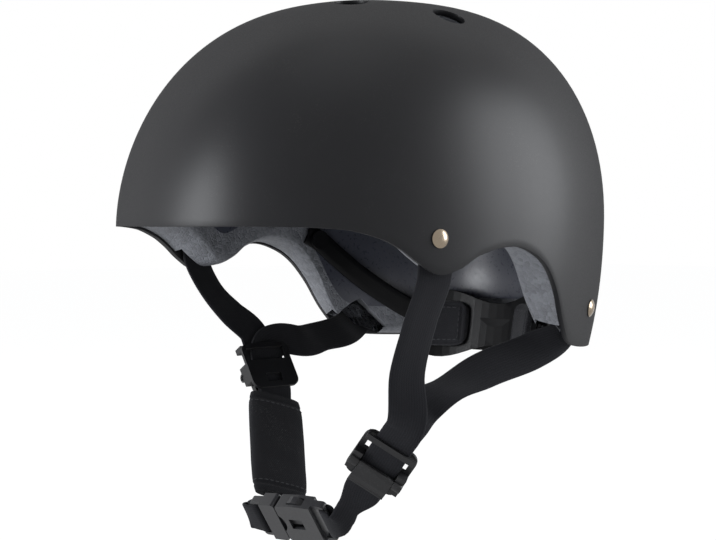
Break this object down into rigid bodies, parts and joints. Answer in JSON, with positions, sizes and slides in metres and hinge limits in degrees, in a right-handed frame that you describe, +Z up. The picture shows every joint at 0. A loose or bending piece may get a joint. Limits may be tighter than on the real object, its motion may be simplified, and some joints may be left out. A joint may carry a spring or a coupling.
{
  "type": "skate helmet",
  "caption": "Hard shell skate helmet with a foam liner, a dial fit ring and Y webbing that joins at a side release buckle with a chin pad.",
  "frame": {"origin": "centre of the head opening at the height of the front brim's lower edge, on the plane of symmetry of the shell", "axes": "+Z up to the crown, brow faces -Y, wearer's left is +X"},
  "size_m": [0.2196, 0.2757, 0.2887],
  "materials": {
    "shell": "matt moulded ABS, very fine texture",
    "liner": "moulded bead foam, satin skin, cut edges grey",
    "pad_cloth": "brushed knit over foam",
    "chin_cloth": "soft fleece sleeve with stitched seams",
    "webbing": "woven polyester webbing",
    "fitting": "moulded acetal, satin",
    "ring_plastic": "smooth moulded nylon",
    "pinion_plastic": "natural acetal",
    "rivet_metal": "nickel plated, domed",
    "washer_metal": "plain steel"
  },
  "bodies": {
    "helmet": {"outer_shell": "shell", "eps_liner": "liner", "brow_pad": "pad_cloth", "left_side_pad": "pad_cloth", "right_side_pad": "pad_cloth", "crown_pad": "pad_cloth", "front_rivets": "rivet_metal", "rear_rivets": "rivet_metal", "rivet_washers": "washer_metal", "left_strap": "webbing", "right_strap": "webbing", "left_divider": "fitting", "buckle_socket": "fitting", "left_band": "ring_plastic", "right_band": "ring_plastic", "band_anchors": "ring_plastic"},
    "left_lever": {"left_cam": "fitting"},
    "chin_run": {"right_divider": "fitting", "buckle_plug": "fitting"},
    "right_lever": {"right_cam": "fitting"},
    "chin_sleeve": {"chin_pad": "chin_cloth"},
    "arm_a": {"upper_arm": "fitting"},
    "arm_b": {"lower_arm": "fitting"},
    "cradle": {"cradle": "ring_plastic", "cradle_pads": "pad_cloth", "dial_housing": "ring_plastic", "dial_cover": "ring_plastic"},
    "rack_l": {"left_rack": "ring_plastic"},
    "rack_r": {"right_rack": "ring_plastic"},
    "dial": {"pinion": "pinion_plastic", "fit_dial": "ring_plastic"}
  },
  "joints": [
    {"name": "cradle_slide", "type": "slide", "parent": "helmet", "child": "cradle", "axis": [0, -1, 0], "range_m": [0, 0.012], "deforming": ["left_band", "right_band"]},
    {"name": "dial_turn", "type": "hinge", "parent": "cradle", "child": "dial", "pos_m": [0, 0.1035, -0.062], "axis": [0, -1, 0], "range_deg": [0, 143.24]},
    {"name": "left_rack_slide", "type": "slide", "parent": "cradle", "child": "rack_l", "axis": [-1, 0, 0], "range_m": [0, 0.012]},
    {"name": "right_rack_slide", "type": "slide", "parent": "cradle", "child": "rack_r", "axis": [1, 0, 0], "range_m": [0, 0.012]},
    {"name": "left_cam_open", "type": "hinge", "parent": "helmet", "child": "left_lever", "pos_m": [0.06223, -0.04759, -0.12674], "axis": [-0.5343, -0.6515, 0.5386], "range_deg": [0, 95]},
    {"name": "right_cam_open", "type": "hinge", "parent": "chin_run", "child": "right_lever", "pos_m": [-0.06388, -0.02076, -0.08529], "axis": [0.0395, 0.9988, 0.0304], "range_deg": [0, 95]},
    {"name": "buckle_release", "type": "slide", "parent": "helmet", "child": "chin_run", "axis": [-0.9537, -0.3007, 0], "range_m": [0, 0.028], "deforming": ["right_strap", "upper_arm", "lower_arm"]},
    {"name": "upper_arm_squeeze", "type": "hinge", "parent": "chin_run", "child": "arm_a", "pos_m": [0.00201, -0.0659, -0.14786], "axis": [-0.2307, 0.7316, 0.6415], "range_deg": [0, 12], "stiffness_Nm_per_rad": 0.05},
    {"name": "lower_arm_squeeze", "type": "hinge", "parent": "chin_run", "child": "arm_b", "pos_m": [-0.00108, -0.05611, -0.16014], "axis": [0.2307, -0.7316, -0.6415], "range_deg": [0, 12], "stiffness_Nm_per_rad": 0.05},
    {"name": "chin_pad_slide", "type": "slide", "parent": "chin_run", "child": "chin_sleeve", "axis": [-0.454, 0.3178, 0.8324], "range_m": [0, 0.002]}
  ],
  "couplings": [
    {"joint": "dial_turn", "follows": "cradle_slide", "rad_per_m": 208.33},
    {"joint": "left_rack_slide", "follows": "cradle_slide", "ratio": 1},
    {"joint": "right_rack_slide", "follows": "cradle_slide", "ratio": 1}
  ]
}
